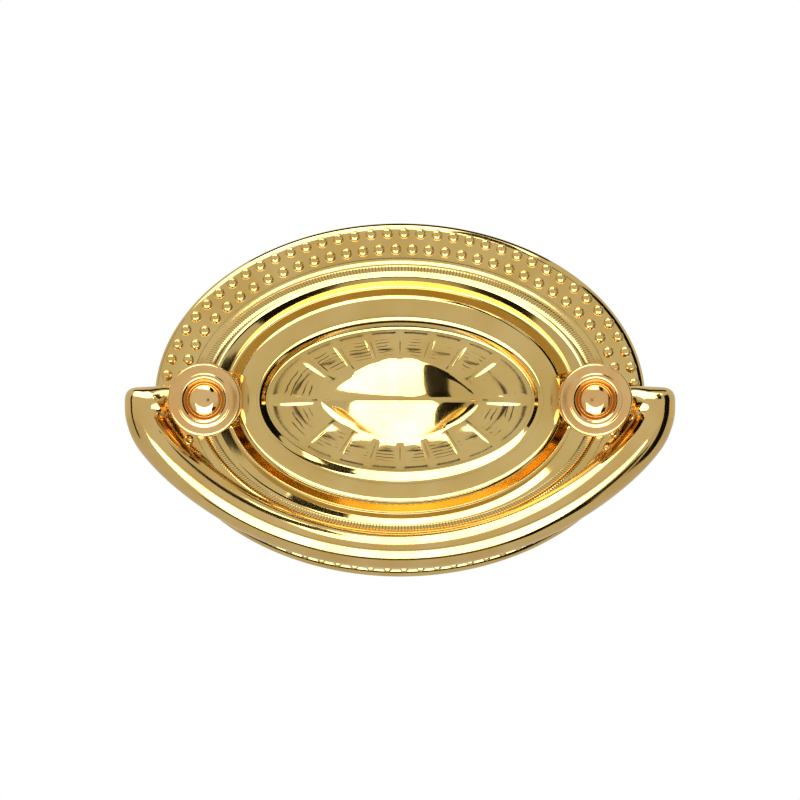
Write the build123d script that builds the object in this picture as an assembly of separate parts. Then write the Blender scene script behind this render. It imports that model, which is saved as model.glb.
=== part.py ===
from build123d import *
from math import cos, radians, sin
import os

# Bail pull for a drawer front, in millimetres
# The back of the plate's rim lies on the drawer front, in the plane y = 0, midway between the studs.
# The front of the pull looks along -Y, +Z is up and the studs run along +Y through the drawer front.
# A level is a height in front of the drawer front. An inset is measured inwards from the plate's outline.

# Backplate: oval outline, about two holes a boring apart, sheet and levels of its front
boring = 50.8
hole_inset = 6.9
plate_height = 46.5
sheet = 0.8
border_level = 1.7
ledge_level = 1.25
channel_level = 0.95
dish_level = 1.4
boss_level = 4.0

# Widths of the oval bands, from the outline inwards
rim_bevel = 0.5
border_width = 4.8
bevel_width = 0.7
ledge_width = 1.2
cove_width = 0.7
channel_width = 2.0
ring_wall = 0.7
ring_width = 2.9
dish_wall = 0.8

# The ring and the dish are drawn in further at the plate's two ends
end_narrowing = 1.2

# Fluted dish: ribs that fan out from a smooth boss with a ridge
boss_length = 21.6
boss_height = 9.8
boss_step = 0.55
boss_sides = 16
ridge_length = 6.0
ribs_per_quarter = 3
rib_width = 1.1
rib_inner_width = 0.6
rib_flank = 0.2
rib_rise = 0.45

# Two rows of beads on the border
bead_dia = 1.45
bead_rise = 0.5
bead_sides = 5
bead_spare = 0.1
bead_pitch = 2.14
outer_bead_inset = 1.7
inner_bead_inset = 3.78

# Posts, studs and nuts
plate_hole_dia = 5.9
seat_dia = 8.2
post_dia = 9.5
post_length = 12.7
post_chamfer = 0.6
collar_dia = 6.8
collar_sink = 0.3
groove_dia = 5.3
groove_depth = 1.0
button_dia = 3.9
button_top_dia = 3.3
button_rise = 0.5
pin_rise = 9.1
stud_dia = 4.16
stud_length = 30.0
stud_entry = 6.0
drill_spare = 0.3
thread_gap = 0.03
nut_size = 8.73
nut_thickness = 3.2
nut_corner = 0.5
drawer_front = 18.0

# Bail: free space between post and arm, drop over its outside, bow, thickness and pins
arm_gap = 0.8
bail_drop = 22.0
bow_radius = 43.0
bow_angle = 42.0
arm_radius = 7.6
arm_angle = 52.0
middle_dia = 4.9
shoulder_dia = 5.3
corner_dia = 4.9
corner_drop = 0.2
pin_dia = 3.6
pin_gap = 0.08
pin_reach = 1.9
pin_bore_spare = 0.4
bow_sections = 5
arm_sections = 3
dome_angle = 60.0

# How far an added form reaches into what carries it
root = 0.2

# Places that follow from the sizes
post_x = boring / 2
half_long = post_x + hole_inset
half_short = plate_height / 2
bend = sheet / 2
ledge_inset = border_width + bevel_width
cove_inset = ledge_inset + ledge_width
channel_inset = cove_inset + cove_width
ring_inset = channel_inset + channel_width
ring_top_inset = ring_inset + ring_wall
dish_edge_inset = ring_top_inset + ring_width
dish_inset = dish_edge_inset + dish_wall
ring_level = border_level + bead_rise
pin_y = -(ring_level + pin_rise)
corner_x = post_x + (post_dia + corner_dia) / 2 + arm_gap
thread_bore_r = stud_dia / 2 + thread_gap


def front_plane(level, x=0.0):
    """The plane at one level, seen from the front, with its origin at x."""
    return Plane(origin=(x, -level, 0), x_dir=(1, 0, 0), z_dir=(0, -1, 0))


def inset_oval(inset, level, narrowing=0.0):
    """The plate's outline drawn in by an inset, and at the ends by a narrowing too, as a wire."""
    return Wire(front_plane(level) * Edge.make_ellipse(half_long - inset - narrowing, half_short - inset))


def step(*contours, narrowing=0.0):
    """A closed form through ovals given as (inset, level), with flat ends."""
    return Solid.make_loft([inset_oval(*c, narrowing) for c in contours], ruled=True)


def rod(radius, low, high, x):
    """A round bar about a post's axis, between two levels."""
    return front_plane(low, x) * Solid.make_cylinder(radius, high - low)


def turned(profile):
    """A turned solid about Z, from the corners (radius, place) of half its section."""
    return Solid.revolve(Face(Wire.make_polygon([(r, 0, h) for r, h in profile])), 360, Axis.Z)


def walls(low, high):
    """The flat sides between two loops of as many points."""
    return [[low[i - 1], low[i], high[i], high[i - 1]] for i in range(len(low))]


def slopes(foot, tops):
    """Three-cornered sides from each side of a loop up to its own top point."""
    return [[foot[i - 1], foot[i], tops[i]] for i in range(len(foot))]


def flat_sided(loops):
    """A solid whose faces are all flat, each given by its corners."""
    return Solid(Shell([Face(Wire.make_polygon(loop)) for loop in loops]))


def boss(under):
    """The boss: an oval foot under slopes that rise to a ridge along the plate."""
    thin = bend if under else 0.0
    turns = [radians(360 * i / boss_sides) for i in range(boss_sides)]
    plan = [((boss_length / 2 - thin) * cos(a), (boss_height / 2 - thin) * sin(a)) for a in turns]
    foot = [(x, under + root - dish_level, z) for x, z in plan]
    rim = [(x, under - boss_step - dish_level, z) for x, z in plan]
    right, left = [(side * ridge_length / 2, under - boss_level, 0) for side in (1, -1)]
    tops = [right if rim[i - 1][0] + rim[i][0] > 0 else left for i in range(boss_sides)]
    upper, lower = rim[boss_sides // 4], rim[3 * boss_sides // 4]
    flanks = [[upper, left, right], [lower, right, left]]
    return flat_sided([foot[::-1], *walls(foot, rim), *slopes(rim, tops), *flanks])


def front_form():
    """Everything behind the plate's pressed front, down to the drawer front."""
    form = step((0, 0), (0, border_level - rim_bevel), (rim_bevel, border_level))
    form -= step((border_width, border_level), (ledge_inset, ledge_level),
                 (cove_inset, ledge_level), (channel_inset, channel_level))
    form += step((ring_inset, channel_level - root), (ring_top_inset, ring_level), narrowing=end_narrowing)
    form -= step((dish_edge_inset, ring_level), (dish_inset, dish_level), narrowing=end_narrowing)
    for x in (-post_x, post_x):
        form += rod(seat_dia / 2, channel_level - root, border_level, x)
    return form + boss(0.0)


def back_form():
    """The hollow at the plate's back, one sheet behind its front."""
    border, channel = border_level - sheet, channel_level - sheet
    ring, dish = ring_level - sheet, dish_level - sheet
    form = step((sheet, -sheet), (sheet, border))
    form -= step((border_width - bend, border), (channel_inset - bend, channel))
    form += step((ring_inset + bend, channel - root), (ring_top_inset + bend, ring), narrowing=end_narrowing)
    form -= step((dish_edge_inset - bend, ring), (dish_inset - bend, dish), narrowing=end_narrowing)
    for x in (-post_x, post_x):
        form += rod(seat_dia / 2 - bend, channel - root, border, x)
    return form + boss(sheet)


def rib(turn):
    """One rib between two sunk panels, from the boss out to the dish's wall."""
    quarter = ribs_per_quarter + 1
    along = 1 - (turn % (2 * quarter)) / quarter
    sign = 1 if turn < 2 * quarter else -1
    outer_x = sign * along * (half_long - dish_inset - end_narrowing)
    outer_z = sign * (1 - along**2) ** 0.5 * (half_short - dish_inset)
    a = radians(90 * turn / quarter)
    inner = Vector(boss_length / 2 * cos(a), boss_height / 2 * sin(a))
    outer = Vector(outer_x, outer_z)
    run = (outer - inner).normalized()
    side = Vector(-run.Y, run.X)
    inner, outer = inner - run * rib_width, outer + run * dish_wall
    loops = []
    for level, flank in ((dish_level - root, 0.0), (dish_level + rib_rise, rib_flank)):
        near, far = rib_inner_width / 2 - flank, rib_width / 2 - flank
        corners = (inner + side * near, inner - side * near, outer - side * far, outer + side * far)
        loops.append([(c.X, -level, c.Y) for c in corners])
    low, high = loops
    return flat_sided([low[::-1], *walls(low, high), high])


def beads(inset):
    """One row of beads, evenly spaced along its oval, without those that the holes take."""
    path = inset_oval(inset, border_level)
    count = round(path.length / bead_pitch)
    clear = (plate_hole_dia + bead_dia) / 2 + bead_spare
    turns = [radians(360 * k / bead_sides) for k in range(bead_sides)]
    row = []
    for i in range(count):
        place = path.position_at(i / count)
        if (Vector(abs(place.X), place.Z) - Vector(post_x, 0)).length < clear:
            continue
        r = bead_dia / 2
        plan = [(place.X + r * cos(a), place.Z + r * sin(a)) for a in turns]
        low = [(x, root - border_level, z) for x, z in plan]
        high = [(x, -border_level, z) for x, z in plan]
        tops = [(place.X, -ring_level, place.Z)] * bead_sides
        row.append(flat_sided([low[::-1], *walls(low, high), *slopes(high, tops)]))
    return row


def make_backplate():
    """Oval plate pressed from sheet brass, hollow at the back."""
    plate = front_form() - back_form()
    plate = plate.fuse(*[rib(i) for i in range(4 * (ribs_per_quarter + 1))])
    for x in (-post_x, post_x):
        plate -= rod(plate_hole_dia / 2, -sheet, border_level + sheet, x)
    return plate.fuse(*beads(outer_bead_inset), *beads(inner_bead_inset))


def make_post(side):
    """Turned post that stands on the ring and the bead tops, bored for the stud and the pin."""
    post_r, collar_r, groove_r, button_r = [d / 2 for d in (post_dia, collar_dia, groove_dia, button_dia)]
    bottom = post_length - groove_depth
    profile = [
        (0, 0),
        (post_r, 0),
        (post_r, post_length - post_chamfer),
        (post_r - post_chamfer, post_length),
        (collar_r, post_length - collar_sink),
        (collar_r - collar_sink, post_length),
        (groove_r, post_length),
        (groove_r, bottom),
        (button_r, bottom),
        (button_top_dia / 2, bottom + button_rise),
        (0, bottom + button_rise),
    ]
    post = front_plane(ring_level, side * post_x) * turned(profile)
    post -= rod(thread_bore_r, ring_level - root, ring_level + stud_entry + drill_spare, side * post_x)
    bore_end = post_x - pin_reach - pin_bore_spare
    drill = Plane(origin=(side * bore_end, pin_y, 0), x_dir=(0, 1, 0), z_dir=(side, 0, 0))
    return post - drill * Solid.make_cylinder(pin_dia / 2 + pin_gap, post_x + post_dia - bore_end)


def make_stud(side):
    """Threaded rod, with a face each for its stretch in the drawer front, the nut and the post."""
    r = stud_dia / 2
    front = ring_level + stud_entry
    back = front - stud_length
    profile = [(r, 0), (r, -drawer_front), (r, back), (0, back), (0, front), (r, front)]
    return front_plane(0, side * post_x) * turned(profile)


def make_nut(side):
    """Square nut behind the drawer front, its corners eased."""
    behind = Plane(origin=(side * post_x, drawer_front, 0), x_dir=(1, 0, 0), z_dir=(0, 1, 0))
    nut = extrude(behind * Rectangle(nut_size, nut_size), nut_thickness)
    nut = chamfer(nut.edges().filter_by(Axis.Y), nut_corner)
    return nut - behind * Solid.make_cylinder(thread_bore_r, nut_thickness)


def bail_stations():
    """Points of the bail's centre line from its middle to one end: (x, z, slope, radius)."""
    low = -(bail_drop - middle_dia / 2)
    bow, arm = radians(bow_angle), radians(arm_angle)
    bow_x, bow_z = bow_radius * sin(bow), low + bow_radius * (1 - cos(bow))
    join_radius = (corner_x - bow_x - arm_radius * (1 - sin(arm))) / (sin(arm) - sin(bow))
    arm_x = bow_x + join_radius * (sin(arm) - sin(bow))
    arm_z = bow_z + join_radius * (cos(bow) - cos(arm))
    stations = []
    for i in range(bow_sections + 1):
        part = i / bow_sections
        a = bow * part
        radius = (middle_dia + (shoulder_dia - middle_dia) * part) / 2
        stations.append((bow_radius * sin(a), low + bow_radius * (1 - cos(a)), a, radius))
    for i in range(arm_sections + 1):
        part = i / arm_sections
        a = arm + (radians(90) - arm) * part
        radius = (shoulder_dia + (corner_dia - shoulder_dia) * part) / 2
        x = arm_x + arm_radius * (sin(a) - sin(arm))
        stations.append((x, arm_z + arm_radius * (cos(arm) - cos(a)), a, radius))
    corner_r = corner_dia / 2
    for angle in (0, dome_angle):
        a = radians(angle)
        stations.append((corner_x, corner_r * sin(a) - corner_drop, radians(90), corner_r * cos(a)))
    return stations


def make_bail():
    """Cast bail: a bow with two arms, and a pin that turns in from the end of each."""
    half = bail_stations()
    rings = []
    for x, z, a, r in [(-x, z, -a, r) for x, z, a, r in half[:0:-1]] + half:
        across = Plane(origin=(x, pin_y, z), x_dir=(0, 1, 0), z_dir=(cos(a), 0, sin(a)))
        rings.append(Wire(across * Edge.make_circle(r)))
    bail = Solid.make_loft(rings, ruled=True)
    pin = Solid.make_cylinder(pin_dia / 2, corner_x - post_x + pin_reach)
    for side in (-1, 1):
        bail += Plane(origin=(side * corner_x, pin_y, 0), x_dir=(0, 1, 0), z_dir=(-side, 0, 0)) * pin
    return bail


os.makedirs("parts", exist_ok=True)
pieces = {"backplate": make_backplate(), "bail": make_bail()}
for name, side in (("left", -1), ("right", 1)):
    pieces[f"post_{name}"] = make_post(side)
    pieces[f"stud_{name}"] = make_stud(side)
    pieces[f"nut_{name}"] = make_nut(side)
for name, piece in pieces.items():
    export_step(piece, f"parts/{name}.step")
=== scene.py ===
import bpy
import numpy as np
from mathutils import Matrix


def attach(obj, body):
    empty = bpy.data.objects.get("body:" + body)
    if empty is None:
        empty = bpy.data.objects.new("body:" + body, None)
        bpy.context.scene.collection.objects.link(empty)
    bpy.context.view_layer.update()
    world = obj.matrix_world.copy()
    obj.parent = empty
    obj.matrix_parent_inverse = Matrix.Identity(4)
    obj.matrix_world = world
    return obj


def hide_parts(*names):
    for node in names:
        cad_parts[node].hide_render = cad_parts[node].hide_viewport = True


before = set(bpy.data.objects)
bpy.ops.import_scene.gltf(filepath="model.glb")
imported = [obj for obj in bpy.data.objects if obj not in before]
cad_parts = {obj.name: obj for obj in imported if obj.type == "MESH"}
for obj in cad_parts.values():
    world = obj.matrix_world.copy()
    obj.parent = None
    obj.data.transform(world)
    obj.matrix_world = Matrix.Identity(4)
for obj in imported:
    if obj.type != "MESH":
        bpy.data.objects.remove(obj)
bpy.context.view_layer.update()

# Backplate
# An oval plate pressed from sheet brass: border, ledge, channel, ring, and a fluted dish with a boss.
# The posts clamp it to the drawer front, which its rim lies on. Levels are heights in front of the drawer
# front, and insets are measured inwards from the outline.
scene = bpy.context.scene
mm = 0.001
half_long, half_short = 32.3, 23.25
sheet = 0.8
post_x = 25.4
border_level, ledge_level, channel_level = 1.7, 1.61, 0.62
ring_level, dish_level, boss_level = 2.2, 1.5, 3.75
channel_back_level = 0.1
dish_inset = 14.05
end_insets, end_narrowing = (5.5, 7.0, 9.4, 10.2, 13.0, 14.2), (0.0, 0.7, 1.3, 1.4, 1.1, 0.85)
boss_half_long, boss_half_short = 10.4, 4.5
boss_crown, boss_slope = 0.0208, 0.45
ridge_softness, foot_softness = 0.5, 0.06
rib_half, rib_inner_half, rib_flank = 0.58, 0.36, 0.2
rib_crown, rib_crown_outer, rib_crown_inner, floor_edge = 0.012, 0.3, 0.2, 0.05
rib_outer_shares, rib_inner_shares = (1, 0.75, 0.5, 0.25), (1, 0.83, 0.57, 0.26)
panel_depth, panel_hollow, scallop = 0.1, 0.1, 0.07
scoop_from, scoop_run, scoop_fade_from, scoop_fade_run = 0.005, 0.4, 0.45, 0.5
seat_radius, hole_radius, seat_flank = 4.15, 2.95, 0.4
boss_back_share, boss_back_foot = 0.95, 0.25
hole_x = (-post_x, post_x)
drill_back, drill_front = -1, 4
columns_rib, columns_panel = 4, 26
dish_rows, boss_rows, boss_back_rows = 72, 16, 8


def eased(corners, samples=5):
    """Rounds the corners of a line given as (place, level, reach). Each corner becomes the curve
    (1-t)^2 a + 2 t (1-t) c + t^2 b between the points a and b at its reach before and after it."""
    corners = np.array(corners, float)
    t = np.linspace(0, 1, samples)[:, None]
    line = [corners[:1, :2]]
    for before, here, after in zip(corners, corners[1:], corners[2:]):
        to_before, to_after = before[:2] - here[:2], after[:2] - here[:2]
        a = here[:2] + to_before * here[2] / np.hypot(*to_before)
        b = here[:2] + to_after * here[2] / np.hypot(*to_after)
        line.append((1 - t) ** 2 * a + 2 * t * (1 - t) * here[:2] + t**2 * b)
    return np.concatenate([*line, corners[-1:, :2]])


def smooth(x):
    """Soft step from 0 to 1: 3 x^2 - 2 x^3 of x held between 0 and 1."""
    x = np.clip(x, 0, 1)
    return x * x * (3 - 2 * x)


def placed(name, points, faces):
    """Puts a mesh with points in millimetres into the scene, smooth shaded."""
    mesh = bpy.data.meshes.new(name)
    mesh.from_pydata(points * mm, [], faces)
    mesh.shade_smooth()
    piece = bpy.data.objects.new(name, mesh)
    scene.collection.objects.link(piece)
    return piece


def skin(name, grid, rows_meet=False):
    """Mesh over a grid of points (rows, columns, 3) in millimetres, its columns closed into rings.
    Each cell is two triangles, equal points are one vertex, and the faces are turned outwards
    where the volume inside them, the sum of a . (b x c) / 6, comes out negative."""
    rows, columns = grid.shape[:2]
    # Adding 0.0 turns -0.0 into 0.0, so that points on a seam are equal
    rounded = np.round(grid.reshape(-1, 3), 6) + 0.0
    points, index = np.unique(rounded, axis=0, return_inverse=True)
    index = index.reshape(rows, columns)
    row = np.arange(rows if rows_meet else rows - 1)[:, None]
    column = np.arange(columns)[None, :]
    next_row, next_column = (row + 1) % rows, (column + 1) % columns
    corner = index[next_row, next_column]
    one = np.stack([index[row, column], index[row, next_column], corner], -1)
    two = np.stack([index[row, column], corner, index[next_row, column]], -1)
    faces = np.concatenate([one.reshape(-1, 3), two.reshape(-1, 3)])
    a, b, c = faces.T
    faces = faces[(a != b) & (b != c) & (c != a)]
    a, b, c = points[faces].transpose(1, 0, 2)
    if np.einsum("ij,ij->", a, np.cross(b, c)) < 0:
        faces = faces[:, ::-1]
    return placed(name, points, faces.tolist())


def turned(name, profile, centre, along="y", sectors=96):
    """Surface of revolution: a profile point (radius, place) goes round its axis as
    (radius cos a, radius sin a) at that place. Place is measured along -Y, or along +X."""
    radius, place = np.array(profile, float).T
    a = np.linspace(0, 2 * np.pi, sectors, endpoint=False)[None, :]
    u, v = radius[:, None] * np.cos(a), radius[:, None] * np.sin(a)
    w = place[:, None] + 0 * a
    x, y, z = (u, -w, v) if along == "y" else (w, u, v)
    return skin(name, np.stack([x, y, z], -1) + np.array(centre, float))


def drill(name, radius, low, high, centre, along="y", sectors=64):
    """A closed round bar between two places on its axis, to be cut out of a piece."""
    return turned(name, [(0, low), (radius, low), (radius, high), (0, high)], centre, along, sectors)


def cut(piece, *tools):
    """Cuts closed tools out of a piece and removes them."""
    for tool in tools:
        bite = piece.modifiers.new(tool.name, "BOOLEAN")
        bite.operation, bite.object, bite.solver = "DIFFERENCE", tool, "MANIFOLD"
    shown = piece.evaluated_get(bpy.context.evaluated_depsgraph_get())
    mesh = bpy.data.meshes.new_from_object(shown)
    piece.modifiers.clear()
    piece.data = mesh
    mesh.shade_smooth()
    for tool in tools:
        bpy.data.objects.remove(tool)


def plate_turns(half_width, angles, oval):
    """Angles round an oval for one whole turn of columns. A rib stands at each of the given
    angles, and its two edges lie half its width away, divided by the oval's speed there."""
    speed = np.hypot(oval[0] * np.sin(angles), oval[1] * np.cos(angles))
    edge = half_width / speed
    ends = np.append(angles[1:], angles[0] + 2 * np.pi)
    edge_next = np.append(edge[1:], edge[0])
    over = np.linspace(0, 1, columns_rib, endpoint=False)
    across = np.linspace(0, 1, columns_panel, endpoint=False)
    rising = angles[:, None] + edge[:, None] * over
    start, stop = (angles + edge)[:, None], (ends - edge_next)[:, None]
    panel = start + (stop - start) * across
    falling = stop + edge_next[:, None] * over
    return np.concatenate([rising, panel, falling], 1).ravel()


def both_halves(shares):
    """Angles whose cosines are the given shares in a quarter turn, carried round the whole oval."""
    first = np.arccos(shares)
    half = np.concatenate([first, np.pi - np.append(first, np.pi / 2)[:0:-1]])
    return np.concatenate([half, half + np.pi])


def narrowed(inset):
    """How much further an inner band is drawn in at the plate's two ends than at its top and bottom."""
    return np.interp(inset, end_insets, end_narrowing)


def oval_rings(profile):
    """Rings of the plate: each (inset, level) of a profile goes round the outline's oval drawn in by
    that inset, as (half length - inset - narrowing) cos t and (half height - inset) sin t."""
    inset, level = profile.T[:, :, None]
    return np.stack([(half_long - inset - narrowed(inset)) * np.cos(outer_turn), -level + 0 * outer_turn,
                     (half_short - inset) * np.sin(outer_turn)], -1)


def dish_form(x, z, floor):
    """Level of the dish: the boss where it is above the floor. The boss b is a crown that falls with x
    squared and two flanks that fall with |z|, and boss and floor f meet in a soft foot,
    (b + f + sqrt((b - f)^2 + s^2)) / 2."""
    boss = boss_level - boss_crown * x**2 - boss_slope * (np.hypot(z, ridge_softness) - ridge_softness)
    return (boss + floor + np.hypot(boss - floor, foot_softness)) / 2


outer_angles, inner_angles = both_halves(rib_outer_shares), both_halves(rib_inner_shares)
rib_count = len(outer_angles)
dish_oval = (half_long - dish_inset - narrowed(dish_inset), half_short - dish_inset)
outer_turn = plate_turns(rib_half, outer_angles, dish_oval)
inner_turn = plate_turns(rib_inner_half, inner_angles, (boss_half_long, boss_half_short))
outer_x, outer_z = dish_oval[0] * np.cos(outer_turn), dish_oval[1] * np.sin(outer_turn)
inner_x, inner_z = boss_half_long * np.cos(inner_turn), boss_half_short * np.sin(inner_turn)

# Corners of the front's section as (inset, level, reach): rim, border, ledge, channel, ring, dish wall
bands = oval_rings(eased([
    (0.0, 0.0, 0.0), (0.0, 1.08, 0.1), (0.28, 1.42, 0.08),
    (0.75, border_level, 0.15), (4.75, border_level, 0.25),
    (5.5, ledge_level, 0.25), (6.85, ledge_level, 0.3),
    (8.25, channel_level, 0.15), (8.5, channel_level, 0.1),
    (9.5, 1.95, 0.15), (9.85, ring_level - 0.04, 0.15),
    (10.25, ring_level, 0.15), (12.5, ring_level + 0.07, 0.25),
    (13.0, 2.0, 0.18), (13.75, dish_level, 0.2), (dish_inset, dish_level, 0.0)]))

# The dish's floor runs from its wall in to the boss: crowned ribs, and panels scooped out between them
outward = np.linspace(1, 0, dish_rows)[:, None]
# Half the mean distance between two ribs: the oval is about as long as a circle whose radius is the
# root mean square of its half axes
panel_half = 2 * np.pi / rib_count * np.hypot(*dish_oval) / 2**0.5 / 2
across_panel = np.linspace(-1, 1, columns_panel, endpoint=False)
over_rib = np.linspace(0, 1, columns_rib, endpoint=False)
on_rib, on_panel = np.zeros(columns_rib), np.zeros(columns_panel)
flank = smooth((1 - np.abs(across_panel)) * panel_half / rib_flank)
hollow = flank * (1 - panel_hollow + panel_hollow * (1 - across_panel**2))
panel_form = np.tile(np.concatenate([on_rib, hollow, on_rib]), rib_count)
scallops = np.tile(np.concatenate([on_rib, scallop * across_panel**2, on_rib]), rib_count)
rib_form = np.tile(np.concatenate([1 - over_rib**2, on_panel, 1 - (1 - over_rib) ** 2]), rib_count)
scoop = smooth((outward - scoop_from - scallops) / scoop_run)
scoop = scoop * (1 - smooth((outward - scoop_fade_from) / scoop_fade_run))
dish_floor = dish_level - panel_depth * scoop * panel_form
crown_fade = smooth(outward / rib_crown_inner) * smooth((1 - outward) / rib_crown_outer)
dish_floor += rib_crown * rib_form * crown_fade
dish_floor = dish_level + (dish_floor - dish_level) * smooth((1 - outward) / floor_edge)
x, z = outward * outer_x + (1 - outward) * inner_x, outward * outer_z + (1 - outward) * inner_z
dish = np.stack([x, -dish_form(x, z, dish_floor), z], -1)

outward = np.linspace(1, 0, boss_rows)[1:, None]
x, z = outward * inner_x, outward * inner_z
boss = np.stack([x, -dish_form(x, z, dish_level), z], -1)

# The back follows one sheet behind the front, but under the channel it stays clear of the drawer front
back = oval_rings(np.array([
    (sheet, 0.0), (sheet, border_level - sheet), (4.4, border_level - sheet), (7.0, channel_back_level),
    (9.0, channel_back_level), (10.5, ring_level - sheet), (12.4, ring_level - sheet),
    (13.2, dish_level - sheet)]))
foot_back = np.stack([inner_x, 0 * inner_x - (dish_level - boss_back_foot - sheet), inner_z], -1)[None]
outward = np.linspace(1, 0, boss_back_rows)[:, None] * boss_back_share
x, z = outward * inner_x, outward * inner_z
boss_back = np.stack([x, sheet - dish_form(x, z, dish_level), z], -1)

# Round each hole the bands that lie lower than the border are raised to a flat seat
front = np.concatenate([bands, dish[1:], boss])
from_hole = np.hypot(np.abs(front[..., 0]) - post_x, front[..., 2])
seat = border_level * smooth((seat_radius + seat_flank - from_hole) / seat_flank)
on_seat = (from_hole < seat_radius + seat_flank) & (front[..., 1] < -channel_level / 2)
front[..., 1] = np.where(on_seat, np.minimum(front[..., 1], -seat), front[..., 1])
plate = skin("plate_pressed", np.concatenate([front[::-1], back, foot_back, boss_back]))
cut(plate, *[drill(f"hole_{i}", hole_radius, drill_back, drill_front, (x, 0, 0))
             for i, x in enumerate(hole_x)])


def linear(code):
    """Linear colour of an sRGB hex value: c / 12.92 up to 0.04045, ((c + 0.055) / 1.055)^2.4 above."""
    c = np.array([int(code[i:i + 2], 16) for i in (1, 3, 5)]) / 255
    return (*np.where(c <= 0.04045, c / 12.92, ((c + 0.055) / 1.055) ** 2.4), 1.0)


def add(tree, kind, inputs=(), **settings):
    """Adds a node with its settings. An input is given by name, as a value or as the socket it is
    linked from."""
    node = tree.nodes.new(kind)
    for name, value in settings.items():
        setattr(node, name, value)
    for name, value in dict(inputs).items():
        if isinstance(value, bpy.types.NodeSocket):
            tree.links.new(value, node.inputs[name])
        else:
            node.inputs[name].default_value = value
    return node


# The Mix node's sockets for its two colours and for the mixed one
mix_under, mix_over, mixed = 6, 7, 2


def brass(name, clean, warm, patch_mm, gloss, waviness, wave_mm):
    """Brass whose colour drifts from clean to warm over patches, with a gloss that varies over the same
    patches and a soft waviness left by the buffing wheel. Sizes are in mm, gloss is two roughnesses."""
    material = bpy.data.materials.new(name)
    material.use_nodes = True
    tree = material.node_tree
    shader = tree.nodes["Principled BSDF"]
    shader.inputs["Metallic"].default_value = 1.0
    place = add(tree, "ShaderNodeTexCoord").outputs["Object"]
    patches = add(tree, "ShaderNodeTexNoise", {"Vector": place, "Scale": 1 / (patch_mm * mm), "Detail": 4.0})
    tint = add(tree, "ShaderNodeMapRange", {"Value": patches.outputs["Fac"],
                                            "From Min": 0.35, "From Max": 0.65})
    colour = add(tree, "ShaderNodeMix", {"Factor": tint.outputs["Result"]}, data_type="RGBA")
    colour.inputs[mix_under].default_value = linear(clean)
    colour.inputs[mix_over].default_value = linear(warm)
    tree.links.new(colour.outputs[mixed], shader.inputs["Base Color"])
    rough = add(tree, "ShaderNodeMapRange", {"Value": patches.outputs["Fac"],
                                             "From Min": 0.3, "From Max": 0.7,
                                             "To Min": gloss[0], "To Max": gloss[1]})
    tree.links.new(rough.outputs["Result"], shader.inputs["Roughness"])
    waves = add(tree, "ShaderNodeTexNoise", {"Vector": place, "Scale": 1 / (wave_mm * mm), "Detail": 2.0})
    bump = add(tree, "ShaderNodeBump", {"Height": waves.outputs["Fac"], "Strength": 1.0,
                                        "Distance": waviness * mm})
    tree.links.new(bump.outputs["Normal"], shader.inputs["Normal"])
    return material


def painted_groove_shade(material, share):
    """Lays painted shade over a brass, as much of it as the given socket says: a dark brown for the shade
    and dark reflections in fine grooves.
    """
    tree = material.node_tree
    shader = tree.nodes["Principled BSDF"]
    clean = shader.inputs["Base Color"].links[0].from_socket
    colour = add(tree, "ShaderNodeMix", {"Factor": share}, data_type="RGBA")
    colour.inputs[mix_over].default_value = linear("#5A4420")
    tree.links.new(clean, colour.inputs[mix_under])
    tree.links.new(colour.outputs[mixed], shader.inputs["Base Color"])


def finish(piece, material, body):
    """Gives a piece its material and lets it ride on a body."""
    piece.data.materials.clear()
    piece.data.materials.append(material)
    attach(piece, body)


# Pressed sheet brass, buffed bright and lacquered: sharp reflections, slightly wavy from the die
buffed_sheet = dict(clean="#DCBE7A", warm="#D3B268", patch_mm=6.0, gloss=(0.045, 0.09),
                    waviness=0.003, wave_mm=1.6)
pressed_brass = brass("sheet_brass_buffed_lacquered", **buffed_sheet)
finish(plate, pressed_brass, "mounted")
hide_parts("backplate")

# Comb lines
# Fine lines, 0.4 to 0.8 mm apart, that the die's engraving left across the scooped panels. They are painted
# shade: dark lines in the colour, with no grooves in the mesh. They follow ovals round the boss. The metal's
# level tells the panels from the ribs and from the back.
comb_lines, comb_from, comb_to = 22, 0.6, 0.92
comb_start, comb_stop = 0.08, 0.05
comb_drift, drift_mm = 0.08, 2.5
scoop_shallow, scoop_deep, back_fade = 0.02, 0.05, 0.1
tree = pressed_brass.node_tree
place = tree.nodes["Texture Coordinate"].outputs["Object"]
per_oval = (1 / (dish_oval[0] * mm), 0, 1 / (dish_oval[1] * mm))
oval = add(tree, "ShaderNodeVectorMath", {0: place, 1: per_oval}, operation="MULTIPLY").outputs["Vector"]
ovalness = add(tree, "ShaderNodeVectorMath", {0: oval}, operation="LENGTH").outputs["Value"]
clouds = add(tree, "ShaderNodeTexNoise", {"Vector": place, "Scale": 1 / (drift_mm * mm), "Detail": 2.0})
drift = clouds.outputs["Fac"]
combed = add(tree, "ShaderNodeMath", {0: drift, 1: comb_drift, 2: ovalness}, operation="MULTIPLY_ADD")
phase = add(tree, "ShaderNodeMath", {0: combed.outputs[0], 1: comb_lines * 2 * np.pi}, operation="MULTIPLY")
wave = add(tree, "ShaderNodeMath", {0: phase.outputs[0]}, operation="SINE").outputs[0]
line = add(tree, "ShaderNodeMapRange", {"Value": wave, "From Min": 0.55, "From Max": 1.0}).outputs["Result"]
depth = add(tree, "ShaderNodeSeparateXYZ", {"Vector": place}).outputs["Y"]
limits = ((depth, -(dish_level - scoop_shallow) * mm, -(dish_level - scoop_deep) * mm),
          (depth, -sheet * mm, -(sheet + back_fade) * mm),
          (ovalness, comb_from, comb_from + comb_start),
          (ovalness, comb_to, comb_to - comb_stop),
          (drift, 0.47, 0.56))
masks = [add(tree, "ShaderNodeMapRange", {"Value": value, "From Min": start, "From Max": stop})
         for value, start, stop in limits]
for mask in masks:
    line = add(tree, "ShaderNodeMath", {0: line, 1: mask.outputs["Result"]}, operation="MULTIPLY").outputs[0]
# Painted shade: the comb lines darken the brass towards dark brown
painted_groove_shade(pressed_brass, line)

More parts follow.
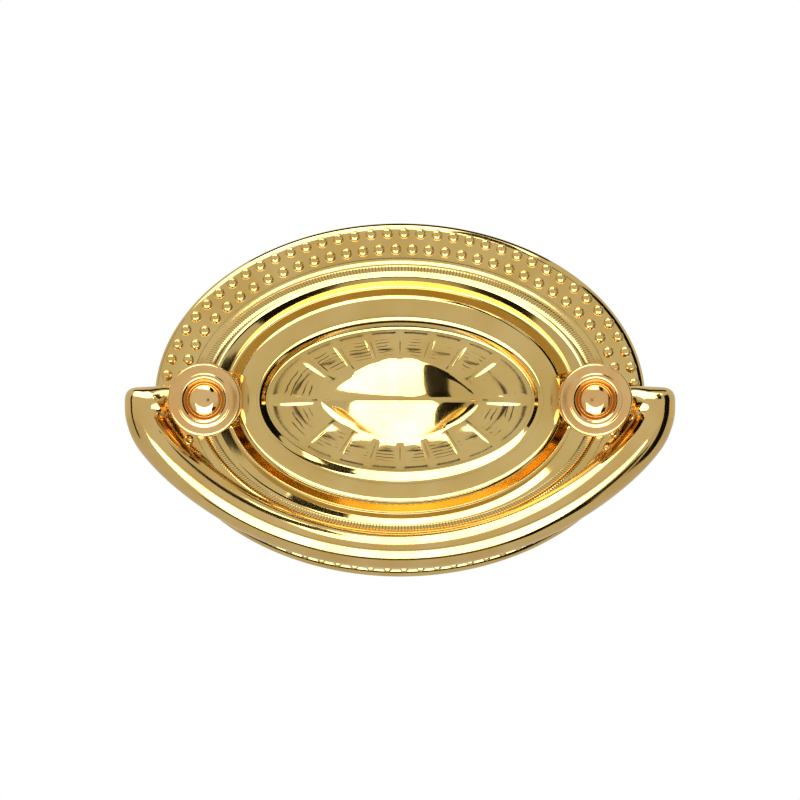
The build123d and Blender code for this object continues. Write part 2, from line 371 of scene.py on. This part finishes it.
# Beads
# Two rows of round beads raised on the border in the same stroke of the press.
# They leave out the places that the holes take.
bead_radius, bead_rise, bead_pitch, bead_root = 0.75, 0.5, 2.17, 0.15
bead_flatness, bead_spare, bead_sectors = 0.62, 0.1, 10
bead_insets = (1.3, 3.42)
oval_chords = 4000
bead_clear = hole_radius + bead_radius + bead_spare
rises = np.radians([0, 0, 30, 58, 80, 90])[:, None]
turns = np.linspace(0, 2 * np.pi, bead_sectors, endpoint=False)[None, :]
dome_radius = bead_radius * np.cos(rises) ** bead_flatness
dome_level = border_level + bead_rise * np.sin(rises) ** bead_flatness + 0 * turns
dome_level[0] -= bead_root
dome = np.stack([dome_radius * np.cos(turns), -dome_level, dome_radius * np.sin(turns)], -1)
bead = np.concatenate([dome[:-1].reshape(-1, 3), dome[-1:, 0]])

# One bead's faces: a foot, four-sided ones between its rings, and a cap of triangles under its tip
tip = len(bead) - 1
here = np.arange(bead_sectors)
after = (here + 1) % bead_sectors
lower = np.arange(len(rises) - 2)[:, None] * bead_sectors
upper = lower + bead_sectors
foot = here[::-1]
sides = np.stack([lower + here, lower + after, upper + after, upper + here], -1).reshape(-1, 4)
cap = np.stack([upper[-1] + here, upper[-1] + after, 0 * here + tip], -1)


def bead_row(inset):
    """Places of a row of beads: steps of one pitch along the oval, less those that the holes take. The
    oval's length up to an angle is the sum of its small chords."""
    a = np.linspace(0, 2 * np.pi, oval_chords + 1)
    x, z = (half_long - inset) * np.cos(a), (half_short - inset) * np.sin(a)
    length = np.append(0, np.cumsum(np.hypot(np.diff(x), np.diff(z))))
    count = round(length[-1] / bead_pitch)
    stops = np.interp(np.arange(count) / count * length[-1], length, a)
    x, z = (half_long - inset) * np.cos(stops), (half_short - inset) * np.sin(stops)
    free = np.hypot(np.abs(x) - post_x, z) > bead_clear
    return np.stack([x[free], 0 * x[free], z[free]], -1)


places = np.concatenate([bead_row(inset) for inset in bead_insets])
first = (np.arange(len(places)) * len(bead))[:, None, None]
faces = [*(foot + first[:, 0]).tolist(), *(sides + first).reshape(-1, 4).tolist(),
         *(cap + first).reshape(-1, 3).tolist()]
beads = placed("beads_raised", (places[:, None, :] + bead[None]).reshape(-1, 3), faces)
finish(beads, pressed_brass, "mounted")

# Milled band
# A narrow raised band on the ledge inside the border, with fine notches pressed across it as on the
# milled edge of a coin. It stops at the flat seats round the holes.
band_inset, band_half, band_rise, band_root = 6.15, 0.62, 0.04, 0.15
notch_pitch, notch_depth = 0.36, 0.012
seat_clear = seat_radius + 0.2
edge_share = 0.93
band_length = 2 * np.pi * np.hypot(half_long - band_inset, half_short - band_inset) / 2**0.5
notch_count = round(band_length / notch_pitch)
# Five columns make one notch, and the rows cross the band from one root over its flat top to the other
notch = np.tile([1.0, 0.1, 0.0, 0.0, 0.1], notch_count)[None, :]
a = np.linspace(0, 2 * np.pi, notch.size, endpoint=False)[None, :]
across = np.array([-1, -1, -edge_share, edge_share, 1, 1])[:, None]
on_top = np.array([0, 0, 1, 1, 0, 0])[:, None]
at_root = np.array([1, 0, 0, 0, 0, 1])[:, None]
inset = band_inset + band_half * across
level = ledge_level - band_root * at_root + (band_rise - notch_depth * notch) * on_top
band = skin("band_milled", np.stack([(half_long - inset) * np.cos(a), -level + 0 * a,
                                     (half_short - inset) * np.sin(a)], -1), rows_meet=True)
cut(band, *[drill(f"seat_{i}", seat_clear, drill_back, drill_front, (x, 0, 0))
            for i, x in enumerate(hole_x)])

# The same buffed sheet, with painted shade in the notches: dark lines laid in the colour, which the very
# shallow notches would not show
milled_brass = brass("sheet_brass_milled", **buffed_sheet)
tree = milled_brass.node_tree
place = tree.nodes["Texture Coordinate"].outputs["Object"]
parts = add(tree, "ShaderNodeSeparateXYZ", {"Vector": place}).outputs
squeeze = (half_short - band_inset) / (half_long - band_inset)
rounded_x = add(tree, "ShaderNodeMath", {0: parts["X"], 1: squeeze}, operation="MULTIPLY").outputs[0]
turn = add(tree, "ShaderNodeMath", {0: parts["Z"], 1: rounded_x}, operation="ARCTAN2").outputs[0]
phase = add(tree, "ShaderNodeMath", {0: turn, 1: notch_count}, operation="MULTIPLY").outputs[0]
wave = add(tree, "ShaderNodeMath", {0: phase}, operation="COSINE").outputs[0]
line = add(tree, "ShaderNodeMapRange", {"Value": wave, "From Min": 0.6, "From Max": 1.0, "To Max": 0.85})
# Painted shade: the notch lines darken the brass towards dark brown
painted_groove_shade(milled_brass, line.outputs["Result"])
finish(band, milled_brass, "mounted")

# Posts
# Two turned brass posts that stand on the ring and the bead tops. Each has a raised collar and a domed
# button in a groove on its face, a cross bore for the bail's pin and a threaded bore behind for the stud.
post_radius, post_length, rim_reach = 4.75, 12.7, 0.35
pin_y, pin_radius, pin_gap = -11.3, 1.8, 0.08
pin_end, pin_bore_spare, outside = 23.5, 0.4, 40.0
stud_bore, stud_entry = 2.11, 6.3
top = ring_level + post_length
# Corners of half its section as (radius, level, reach): foot and rim, collar, groove, button
post_section = eased([
    (0, ring_level, 0), (post_radius, ring_level, 0.15),
    (post_radius, top - 0.08, rim_reach), (3.5, top - 0.1, 0.1),
    (3.3, top, 0.12), (2.9, top, 0.14),
    (2.6, top - 0.25, 0.1), (2.2, top - 1.15, 0.1),
    (1.92, top - 0.68, 0.12), (1.25, top - 0.38, 0.35), (0, top - 0.34, 0.0)], samples=6)
# Turned and polished brass: redder than the sheet, with softer reflections, faintly wavy from the lathe
turned_brass = brass("turned_brass_polished", "#E6BF81", "#E0B06D", patch_mm=4.0, gloss=(0.06, 0.12),
                     waviness=0.002, wave_mm=2.0)
for name, side in (("left", -1), ("right", 1)):
    post = turned(f"post_{name}_turned", post_section, (side * post_x, 0, 0), sectors=128)
    bore = drill("bore", stud_bore, 0, ring_level + stud_entry, (side * post_x, 0, 0), sectors=48)
    bore_from, bore_to = sorted((side * (pin_end - pin_bore_spare), side * outside))
    cross = drill("cross", pin_radius + pin_gap, bore_from, bore_to, (0, pin_y, 0), along="x")
    cut(post, bore, cross)
    finish(post, turned_brass, "mounted")
    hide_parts(f"post_{name}")

# Bail
# One brass casting: a bow that thickens towards its shoulders, two arms that turn up, and a pin that
# turns in from each end. It is polished, but the inner sides of the arms are left as cast.
bow_radius, join_radius, arm_radius = 43.0, 25.37, 7.6
bow_end, join_end, hook_from = np.radians(42), np.radians(52), np.radians(70)
middle_half, shoulder_half, corner_half, elbow_half = 2.45, 2.65, 2.45, 2.3
bail_low, corner_x, arm_outside = -19.55, 33.4, 35.85
hook_rows, bail_sectors = 90, 64


def walked(line, stops):
    """Points along a line at shares of its length."""
    run = np.append(0, np.cumsum(np.hypot(*np.diff(line, axis=0).T)))
    return np.stack([np.interp(stops * run[-1], run, line[:, i]) for i in (0, 1)], -1)


# The centre line's slope turns from 0 in the middle to a right angle: over a bend of radius r, x grows by
# r times the change of its sine, and z by r times the fall of its cosine
slope = np.concatenate([np.linspace(0, bow_end, 40), np.linspace(bow_end, join_end, 10)[1:],
                        np.linspace(join_end, np.pi / 2, 30)[1:]])
bend = np.select([slope <= bow_end, slope <= join_end], [bow_radius, join_radius], arm_radius)
between = (bend[1:] + bend[:-1]) / 2
x = np.append(0, np.cumsum(between * np.diff(np.sin(slope))))
z = bail_low + np.append(0, np.cumsum(between * -np.diff(np.cos(slope))))
x = x * corner_x / x[-1]
half_thick = np.interp(slope, [0, bow_end, join_end, np.pi / 2],
                       [middle_half, shoulder_half, shoulder_half, corner_half])
in_bow = slope <= hook_from
x, z, half_thick, slope = x[in_bow], z[in_bow], half_thick[in_bow], slope[in_bow]
inner = np.stack([x - half_thick * np.sin(slope), z + half_thick * np.cos(slope)], -1)
outer = np.stack([x + half_thick * np.sin(slope), z - half_thick * np.cos(slope)], -1)

# The hook's two outlines, round the arm and along the pin to its end, as corners (x, z, reach)
hook_outer = eased([
    (*outer[-1], 0), (arm_outside, -2.2, 1.2), (arm_outside, 1.6, 1.7), (30.6, 1.85, 0.4),
    (30.0, pin_radius, 0.2), (24.0, pin_radius - 0.05, 0.3),
    (pin_end, 1.2, 0.2), (pin_end, 0.0, 0.0)], samples=9)
hook_inner = eased([
    (*inner[-1], 0), (30.55, -1.95, 0.7), (30.2, -pin_radius, 0.2),
    (29.0, -pin_radius, 0.2), (24.0, -pin_radius + 0.05, 0.3),
    (pin_end, -1.2, 0.2), (pin_end, 0.0, 0.0)], samples=9)
# Sections stand at matching shares of both outlines' lengths, chosen so that each crosses the bar squarely
steps = np.linspace(0, 1, hook_rows)
stops_outer = np.interp(steps, [0, 0.5, 0.6, 1], [0, 0.52, 0.6, 1])
stops_inner = np.interp(steps, [0, 0.5, 0.6, 1], [0, 0.12, 0.24, 1])
hook_depth = np.interp(steps[1:], [0, 0.45, 0.62, 1], [half_thick[-1], elbow_half, pin_radius, pin_radius])
inner = np.concatenate([inner, walked(hook_inner, stops_inner)[1:]])
outer = np.concatenate([outer, walked(hook_outer, stops_outer)[1:]])
half_width = np.hypot(*(outer - inner)[len(half_thick):].T) / 2
half_depth = np.append(half_thick, np.minimum(hook_depth, half_width))

# Each section is an ellipse from the inner outline to the outer one, and the left half mirrors the right
mirror = [-1, 1]
inner = np.concatenate([inner[:0:-1] * mirror, inner])
outer = np.concatenate([outer[:0:-1] * mirror, outer])
half_depth = np.append(half_depth[:0:-1], half_depth)[:, None]
a = np.linspace(0, 2 * np.pi, bail_sectors, endpoint=False)[None, :]
centre, half = ((outer + inner) / 2)[:, None], ((outer - inner) / 2)[:, None]
plan = centre + half * np.cos(a)[..., None]
bail = skin("bail_cast", np.stack([plan[..., 0], pin_y + half_depth * np.sin(a), plan[..., 1]], -1))
# Cast brass, polished by hand: reflections a little softer and wavier than the sheet's
cast_brass = brass("cast_brass_polished", "#DCBC79", "#D4AF67", patch_mm=5.0, gloss=(0.06, 0.13),
                   waviness=0.006, wave_mm=2.4)
finish(bail, cast_brass, "bail")

# Where a surface inside the hook looks at the hook's middle, it was out of the polishing wheel's reach.
# The sand's grain of about 0.1 mm is drawn at 0.25 mm, so that it shows.
hook_middle_x, hook_middle_z = 27.0, -4.0
wheel_reach, wheel_fade = 9.0, 4.0
facing_from, facing_run = 0.35, 0.3
grain_mm, grain_depth = 0.25, 0.1
count = len(bail.data.vertices)
at, facing = np.empty(count * 3, np.float32), np.empty(count * 3, np.float32)
bail.data.vertices.foreach_get("co", at)
bail.data.vertices.foreach_get("normal", facing)
at, facing = at.reshape(-1, 3) / mm, facing.reshape(-1, 3)
zero = 0 * at[:, 0]
to_middle = np.stack([np.sign(at[:, 0]) * hook_middle_x, zero + pin_y, zero + hook_middle_z], -1) - at
away = np.linalg.norm(to_middle, axis=1)
seen = np.einsum("ij,ij->i", facing, to_middle) / np.maximum(away, 0.1)
as_cast = smooth((seen - facing_from) / facing_run) * smooth((wheel_reach - away) / wheel_fade)
cast_shares = bail.data.attributes.new("as_cast", "FLOAT", "POINT")
cast_shares.data.foreach_set("value", as_cast.astype(np.float32))
tree = cast_brass.node_tree
sand = add(tree, "ShaderNodeTexNoise", {"Vector": tree.nodes["Texture Coordinate"].outputs["Object"],
                                        "Scale": 1 / (grain_mm * mm), "Detail": 3.0, "Roughness": 0.6})
where = add(tree, "ShaderNodeAttribute", attribute_name="as_cast")
grain = add(tree, "ShaderNodeMath", {0: sand.outputs["Fac"], 1: where.outputs["Fac"]}, operation="MULTIPLY")
rough_bump = add(tree, "ShaderNodeBump", {"Height": grain.outputs[0], "Strength": 1.0,
                                          "Distance": grain_depth * mm,
                                          "Normal": tree.nodes["Bump"].outputs["Normal"]})
tree.links.new(rough_bump.outputs["Normal"], tree.nodes["Principled BSDF"].inputs["Normal"])
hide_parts("bail")

# Studs
# Two lengths of rolled brass rod with an 8-32 thread from end to end and a small chamfer at each end.
# They are screwed into the posts from behind.
stud_radius, thread_pitch, thread_depth = 2.08, 0.794, 0.44
flank_gain, crest_flat = 1.35, 0.12
stud_front, stud_back, chamfer = 8.2, -21.8, 0.45
sectors = 20
length = stud_front - stud_back
station = np.append(np.arange(0, length, thread_pitch / sectors), length)[:, None]
a = np.linspace(0, 2 * np.pi, sectors, endpoint=False)[None, :]
# The thread is a triangle wave of the station in pitches plus the angle in turns, flat at crest and root
turn = (station / thread_pitch + a / (2 * np.pi)) % 1
thread = np.clip(np.abs(2 * turn - 1) * flank_gain - crest_flat, 0, 1)
radius = stud_radius - thread_depth * (1 - thread)
radius = np.minimum(radius, stud_radius - chamfer + np.minimum(station, length - station))
# Rolled brass as it leaves the thread roller: bright and yellow, with blurred reflections
stud_brass = brass("rolled_brass_bright", "#E2B45D", "#D4A149", patch_mm=3.0, gloss=(0.12, 0.2),
                   waviness=0.002, wave_mm=0.8)
for name, side in (("left", -1), ("right", 1)):
    x, z = side * post_x + radius * np.cos(a), radius * np.sin(a)
    grid = np.stack([x, -(stud_front - station) + 0 * a, z], -1)
    axis = np.tile([[[side * post_x, 0, 0]]], (1, sectors, 1))
    grid = np.concatenate([axis + [0, -stud_front, 0], grid, axis + [0, -stud_back, 0]])
    stud = skin(f"stud_{name}_threaded", grid)
    finish(stud, stud_brass, "mounted")
    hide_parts(f"stud_{name}")

# Nuts
# Two square nuts stamped from brass bar, with rounded corners, a shallow crown turned on one face and a
# countersunk bore. They clamp the pull against the back of the drawer front.
nut_half, nut_power, nut_crown, crown_slope = 4.365, 12, 3.75, 0.32
nut_bore, sink, nut_front, nut_back = 2.11, 0.35, 18.0, 21.2
crown_lead, nut_sectors = 0.05, 160
soft = 0.18
softer = soft * 0.3
a = np.linspace(0, 2 * np.pi, nut_sectors, endpoint=False)[None, :]
# The outline is the rounded square |x|^p + |z|^p = h^p
edge = nut_half / (np.abs(np.cos(a)) ** nut_power + np.abs(np.sin(a)) ** nut_power) ** (1 / nut_power)


def crowned(radius):
    """Level of the crowned face at a radius: flat in the middle, then falling in a straight slope."""
    return nut_back - crown_slope * np.maximum(radius - nut_crown, 0)


halfway = (nut_crown + edge) / 2 - crown_lead
nut_section = [
    (nut_bore, nut_back - sink), (nut_bore + sink, nut_back), (nut_crown, nut_back),
    (halfway, crowned(halfway)), (edge - soft, crowned(edge - soft)),
    (edge - softer, crowned(edge) - softer), (edge, crowned(edge) - soft),
    (edge, nut_front + soft), (edge - softer, nut_front + softer), (edge - soft, nut_front),
    (nut_bore + sink, nut_front), (nut_bore, nut_front + sink)]
out, level = (np.concatenate([value + 0 * a for value in values]) for values in zip(*nut_section))
# Plain stamped brass: pale, with dull, uneven reflections
nut_brass = brass("stamped_brass_plain", "#E6D297", "#DAC483", patch_mm=3.0, gloss=(0.1, 0.2),
                  waviness=0.004, wave_mm=1.2)
for name, side in (("left", -1), ("right", 1)):
    grid = np.stack([side * post_x + out * np.cos(a), level, out * np.sin(a)], -1)
    nut = skin(f"nut_{name}_square", grid, rows_meet=True)
    finish(nut, nut_brass, "mounted")
    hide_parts(f"nut_{name}")

# Camera
# It looks straight at the front of the plate from far off, as the photograph does, at the same scale:
# the picture shows a width of 105.2 mm at the level of the ring.
frame_width, camera_distance, sensor_width = 105.2, 900.0, 36.0
near_end, far_end = 0.05, 10.0
camera_data = bpy.data.cameras.new("camera")
camera_data.sensor_width = sensor_width
camera_data.lens = sensor_width * camera_distance / frame_width
camera_data.clip_start, camera_data.clip_end = near_end, far_end
camera = bpy.data.objects.new("camera", camera_data)
camera.location = (0, -(camera_distance + ring_level) * mm, 0)
camera.rotation_euler = (np.pi / 2, 0, 0)
scene.collection.objects.link(camera)
bpy.context.scene.camera = camera

# Studio
# A white surround and a pale floor, one large soft lamp above and one below in front of the pull, and dark
# cards outside the picture, which give polished brass its dark reflections.
lamp_distance, card_distance, lens_distance = 0.6, 0.62, 0.85
floor_width, floor_drop = 8.0, 0.6
surround_level = 0.77
scene.view_settings.view_transform = "Standard"
world = bpy.data.worlds.new("surround")
scene.world = world
world.use_nodes = True
tree = world.node_tree
tree.nodes.clear()
rays = add(tree, "ShaderNodeLightPath").outputs
# The camera sees the surround pure white, and the metal reflects it and is lit by it a little darker
direct = add(tree, "ShaderNodeMath", {0: rays["Is Camera Ray"], 1: rays["Is Transmission Ray"]},
             operation="MAXIMUM")
strength = add(tree, "ShaderNodeMapRange", {"Value": direct.outputs[0],
                                            "To Min": surround_level, "To Max": 1.0})
white = add(tree, "ShaderNodeBackground", {"Color": (1, 1, 1, 1), "Strength": strength.outputs["Result"]})
add(tree, "ShaderNodeOutputWorld", {"Surface": white.outputs[0]})


def aim(azimuth, elevation, distance):
    """Place at a distance in metres from the pull, and the turn that faces it. Azimuth 0 is in front, and
    90 is on the right."""
    a, e = np.radians((azimuth, elevation))
    away = np.array([np.sin(a) * np.cos(e), -np.cos(a) * np.cos(e), np.sin(e)])
    return away * distance, (np.pi / 2 - e, 0, a)


def painted(name, code, roughness, specular):
    """A matt paint of one colour."""
    material = bpy.data.materials.new(name)
    material.use_nodes = True
    inputs = material.node_tree.nodes["Principled BSDF"].inputs
    inputs["Base Color"].default_value = linear(code)
    inputs["Roughness"].default_value = roughness
    inputs["Specular IOR Level"].default_value = specular
    return material


def staged(name, width, height, material):
    """A flat rectangle in metres that belongs to the studio."""
    mesh = bpy.data.meshes.new(name)
    corners = [(-width / 2, -height / 2, 0), (width / 2, -height / 2, 0), (width / 2, height / 2, 0),
               (-width / 2, height / 2, 0)]
    mesh.from_pydata(corners, [], [(0, 1, 2, 3)])
    mesh.materials.append(material)
    flat = bpy.data.objects.new(name, mesh)
    scene.collection.objects.link(flat)
    return flat


# Name, azimuth, elevation and roll in degrees, size in metres, power in watts
lamps = (("lamp_above", -24, 63, -8, (0.76, 0.50), 4.9),
         ("lamp_below", -4, -30, 0, (0.56, 0.46), 3.55))
for name, azimuth, elevation, roll, size, power in lamps:
    lamp_data = bpy.data.lights.new(name, "AREA")
    lamp_data.shape, lamp_data.size, lamp_data.size_y = "RECTANGLE", *size
    lamp_data.energy = power
    lamp = bpy.data.objects.new(name, lamp_data)
    lamp.location, lamp.rotation_euler = aim(azimuth, elevation, lamp_distance)
    lamp.rotation_euler.rotate_axis("Z", np.radians(roll))
    lamp.visible_camera = False
    lamp.visible_diffuse = False
    scene.collection.objects.link(lamp)

# Matt black card, which gives back nearly no light
card_black = painted("card_matt_black", "#1A1A12", 1.0, 0.0)
# Name, azimuth and elevation in degrees, width, height and distance in metres
cards = (("card_right", 66, 2, 0.36, 1.1, card_distance),
         ("card_right_above", 28, 50, 0.14, 0.5, card_distance),
         ("card_right_below", 36, -42, 0.14, 0.4, card_distance),
         ("card_left", -76, 5, 0.12, 0.7, card_distance),
         ("card_behind_above", 180, 74, 0.7, 0.2, card_distance),
         ("card_below", 0, -59, 0.8, 0.09, card_distance),
         ("card_lens", 0, 0, 0.03, 0.03, lens_distance))
for name, azimuth, elevation, width, height, distance in cards:
    card = staged(name, width, height, card_black)
    card.location, card.rotation_euler = aim(azimuth, elevation, distance)
    card.visible_camera = card.visible_diffuse = card.visible_shadow = False

# Matt white paint on the floor, on which the pull's shadow falls
floor_paint = painted("floor_matt_white", "#F2F2F2", 0.9, 0.5)
floor = staged("floor", floor_width, floor_width, floor_paint)
floor.location = (0, 0, -floor_drop)
